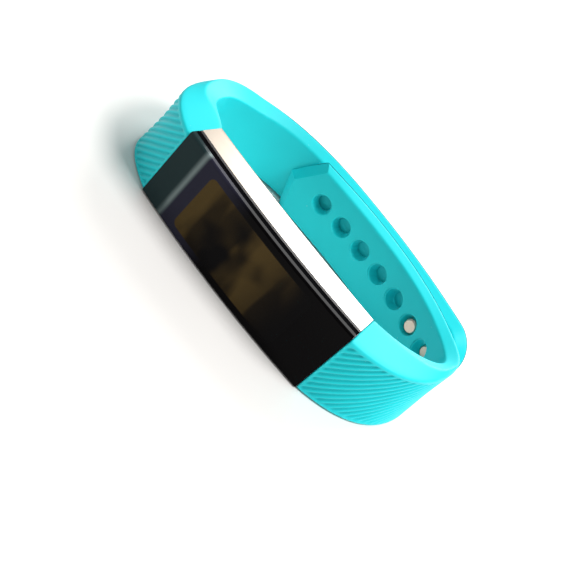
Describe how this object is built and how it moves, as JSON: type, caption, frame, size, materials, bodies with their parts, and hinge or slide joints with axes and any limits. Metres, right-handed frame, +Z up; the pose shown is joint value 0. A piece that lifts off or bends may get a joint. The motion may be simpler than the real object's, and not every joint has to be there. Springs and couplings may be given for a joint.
{
  "type": "fitness tracker band",
  "caption": "Slim fitness tracker with a black glass display in a polished metal case, on a ribbed turquoise silicone strap closed by two metal pegs.",
  "frame": {"origin": "under the middle of the whole band's outline, at the height of the long edge that the tracker stands on", "axes": "+X along the tracker, towards the strap with the holes; -Y the way the display faces; +Z up, along the axis of the wrist"},
  "size_m": [0.069, 0.04, 0.0155],
  "materials": {
    "display_glass": "polished dark glass",
    "black_frame": "gloss",
    "trim_metal": "polished",
    "gasket": "matt",
    "case_metal": "satin",
    "latch_metal": "satin",
    "peg_metal": "polished",
    "strap_silicone": "smooth matt",
    "display": "gloss",
    "inner_plastic": "matt",
    "circuit_board": "satin",
    "chip": "matt",
    "flex_film": "satin",
    "battery_foil": "foil",
    "motor_metal": "satin",
    "contact_gold": "plated"
  },
  "bodies": {
    "tracker": {"front_glass": "display_glass", "front_bezel": "black_frame", "trim_ring": "trim_metal", "case_gasket": "gasket", "case_shell": "case_metal", "display_panel": "display", "inner_chassis": "inner_plastic", "main_board": "circuit_board", "display_ribbon": "flex_film", "processor_chip": "chip", "radio_chip": "chip", "motion_sensor": "chip", "battery": "battery_foil", "radio_antenna": "flex_film", "motor_can": "motor_metal", "contact_block": "inner_plastic", "charging_contacts": "contact_gold", "hole_strap_root": "strap_silicone", "clasp_strap_root": "strap_silicone", "left_connector": "latch_metal", "right_connector": "latch_metal", "left_latch_spring": "latch_metal", "right_latch_spring": "latch_metal"},
    "clasp_end": {"clasp_strap_end": "strap_silicone", "clasp_plate": "peg_metal", "clasp_pegs": "peg_metal"},
    "hole_tail": {"hole_strap_tail": "strap_silicone"},
    "left_button": {"left_latch_button": "latch_metal"},
    "right_button": {"right_latch_button": "latch_metal"},
    "motor_rotor": {"motor_shaft": "motor_metal", "motor_weight": "motor_metal"}
  },
  "joints": [
    {"name": "clasp_end_lift", "type": "hinge", "parent": "tracker", "child": "clasp_end", "pos_m": [0.00051, 0.02001, 0.00775], "axis": [0, 0, 1], "range_deg": [0, 60], "stiffness_Nm_per_rad": 0.01},
    {"name": "hole_tail_bend", "type": "hinge", "parent": "tracker", "child": "hole_tail", "pos_m": [0.01387, 0.01397, 0.00775], "axis": [0, 0, 1], "range_deg": [0, 25], "stiffness_Nm_per_rad": 0.01},
    {"name": "left_latch_press", "type": "slide", "parent": "tracker", "child": "left_button", "axis": [0, -1, 0], "range_m": [0, 0.0006], "stiffness_N_per_m": 1200, "springref_m": -0.0002, "deforming": ["left_latch_spring"]},
    {"name": "right_latch_press", "type": "slide", "parent": "tracker", "child": "right_button", "axis": [0, -1, 0], "range_m": [0, 0.0006], "stiffness_N_per_m": 1200, "springref_m": -0.0002, "deforming": ["right_latch_spring"]},
    {"name": "motor_spin", "type": "hinge", "parent": "tracker", "child": "motor_rotor", "pos_m": [0.00711, -0.01396, 0.0097], "axis": [0, 0, 1], "continuous": true}
  ]
}
